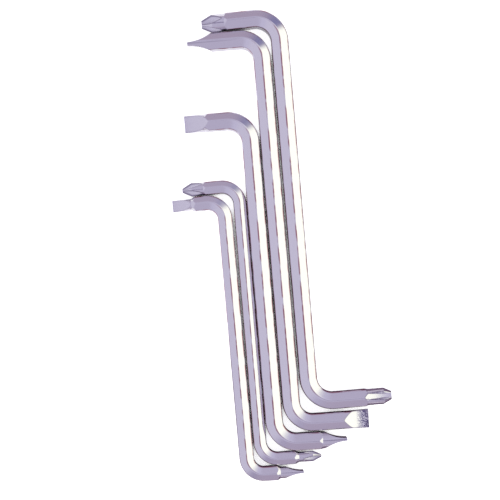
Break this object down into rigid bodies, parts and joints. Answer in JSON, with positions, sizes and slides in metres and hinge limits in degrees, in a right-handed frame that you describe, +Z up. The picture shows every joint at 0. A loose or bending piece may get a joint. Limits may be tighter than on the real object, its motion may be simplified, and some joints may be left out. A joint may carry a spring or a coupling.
{
  "type": "offset screwdriver set",
  "caption": "Z-shaped offset screwdrivers bent from plated hexagonal bar, nested side by side, each with a right-angled slotted or cross tip worked on both ends.",
  "frame": {"origin": "centre of the whole set's box, on the plane that the bars lie on", "axes": "+Z up from the surface the set lies on, +Y along the shafts towards the arms that point to -X, +X towards the right-hand driver and along the lower arms"},
  "size_m": [0.07, 0.163, 0.0067],
  "materials": {
    "plated_steel": "satin-bright plating over drawn and bent steel bar, with fine lengthwise drawing marks and finely ground blade faces"
  },
  "bodies": {
    "large_cross": {"large_cross_driver": "plated_steel"},
    "large_slotted": {"large_slotted_driver": "plated_steel"},
    "medium_slotted": {"medium_slotted_driver": "plated_steel"},
    "small_cross": {"small_cross_driver": "plated_steel"},
    "small_slotted": {"small_slotted_driver": "plated_steel"}
  },
  "joints": [
    {"name": "large_slotted_lift", "type": "slide", "parent": "large_cross", "child": "large_slotted", "axis": [0, 0, 1], "range_m": [0, 0.03]},
    {"name": "medium_slotted_lift", "type": "slide", "parent": "large_cross", "child": "medium_slotted", "axis": [0, 0, 1], "range_m": [0, 0.03]},
    {"name": "small_cross_lift", "type": "slide", "parent": "large_cross", "child": "small_cross", "axis": [0, 0, 1], "range_m": [0, 0.03]},
    {"name": "small_slotted_lift", "type": "slide", "parent": "large_cross", "child": "small_slotted", "axis": [0, 0, 1], "range_m": [0, 0.03]}
  ]
}
